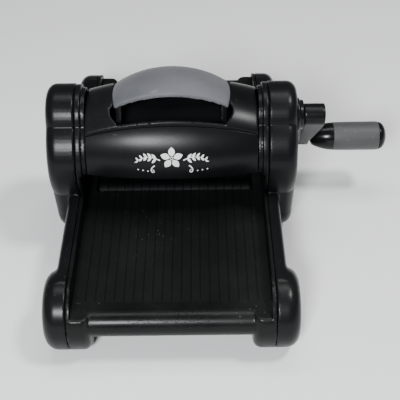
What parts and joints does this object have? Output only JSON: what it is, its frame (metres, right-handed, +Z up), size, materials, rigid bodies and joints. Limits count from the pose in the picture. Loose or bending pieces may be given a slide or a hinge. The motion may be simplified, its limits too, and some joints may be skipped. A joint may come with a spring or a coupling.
{
  "type": "die cutting machine",
  "caption": "Hand-cranked die cutting and embossing machine: a crank turns geared rollers that press a stack fed over a railed bed, with a carry handle on top.",
  "frame": {"origin": "on the surface it stands on, at the middle of the box around the machine and its crank; the body's own centre is at x = -0.048", "axes": "+Y along the feed, away from the user; +X towards the crank; +Z up"},
  "size_m": [0.316, 0.362, 0.168],
  "materials": {
    "black_plastic": "satin, fine texture, dusty",
    "gloss_black": "glossy",
    "grip_grey": "soft touch, light scratches",
    "sleeve_grey": "soft touch",
    "foot_rubber": "matte",
    "bright_steel": "ground",
    "dark_steel": "blackened and oiled",
    "bush_bronze": "sintered bronze"
  },
  "bodies": {
    "machine_body": {"base_bed": "black_plastic", "right_side_cover": "black_plastic", "left_side_cover": "black_plastic", "right_side_frame": "black_plastic", "left_side_frame": "black_plastic", "top_shell": "black_plastic", "handle_bar": "black_plastic", "handle_grip_pad": "grip_grey", "front_barrel_panel": "black_plastic", "rear_barrel_panel": "black_plastic", "bottom_cover": "black_plastic", "front_left_foot_pad": "foot_rubber", "rear_left_foot_pad": "foot_rubber", "front_right_foot_pad": "foot_rubber", "rear_right_foot_pad": "foot_rubber", "upper_right_bush": "bush_bronze", "upper_left_bush": "bush_bronze", "lower_right_bush": "bush_bronze", "lower_left_bush": "bush_bronze", "crank_bush": "bush_bronze", "crank_collar": "gloss_black", "front_tie_rod": "bright_steel", "front_right_rod_screw": "bright_steel", "front_left_rod_screw": "bright_steel", "rear_tie_rod": "bright_steel", "rear_right_rod_screw": "bright_steel", "rear_left_rod_screw": "bright_steel", "right_lower_front_screw": "dark_steel", "left_lower_front_screw": "dark_steel", "right_lower_rear_screw": "dark_steel", "left_lower_rear_screw": "dark_steel", "right_top_screw": "dark_steel", "left_top_screw": "dark_steel", "right_front_foot_screw": "dark_steel", "left_front_foot_screw": "dark_steel", "right_rear_foot_screw": "dark_steel", "left_rear_foot_screw": "dark_steel", "left_handle_screw": "dark_steel", "right_handle_screw": "dark_steel", "front_left_floor_screw": "dark_steel", "rear_left_floor_screw": "dark_steel", "front_right_floor_screw": "dark_steel", "rear_right_floor_screw": "dark_steel"},
    "upper_roller_set": {"upper_roller": "dark_steel", "upper_roller_gear": "dark_steel", "upper_right_ring": "dark_steel", "upper_left_ring": "dark_steel"},
    "lower_roller_set": {"lower_roller": "dark_steel", "lower_roller_gear": "dark_steel", "lower_right_ring": "dark_steel", "lower_left_ring": "dark_steel"},
    "crank": {"crank_shaft": "bright_steel", "crank_pinion": "dark_steel", "crank_shaft_ring": "dark_steel", "crank_arm": "black_plastic", "crank_cap_screw": "gloss_black", "knob_spindle": "bright_steel"},
    "knob": {"knob_cone": "gloss_black", "knob_grip": "sleeve_grey", "knob_end_cap": "gloss_black"}
  },
  "joints": [
    {"name": "crank_turn", "type": "hinge", "parent": "machine_body", "child": "crank", "pos_m": [0.069, 0, 0.123], "axis": [1, 0, 0], "continuous": true},
    {"name": "knob_spin", "type": "hinge", "parent": "crank", "child": "knob", "pos_m": [0.128, 0.04617, 0.0639], "axis": [1, 0, 0], "continuous": true},
    {"name": "upper_roller_turn", "type": "hinge", "parent": "machine_body", "child": "upper_roller_set", "pos_m": [-0.048, 0, 0.085], "axis": [1, 0, 0], "continuous": true},
    {"name": "lower_roller_turn", "type": "hinge", "parent": "machine_body", "child": "lower_roller_set", "pos_m": [-0.048, 0, 0.035], "axis": [1, 0, 0], "continuous": true}
  ],
  "couplings": [
    {"joint": "upper_roller_turn", "follows": "crank_turn", "ratio": -0.52},
    {"joint": "lower_roller_turn", "follows": "crank_turn", "ratio": 0.52}
  ]
}
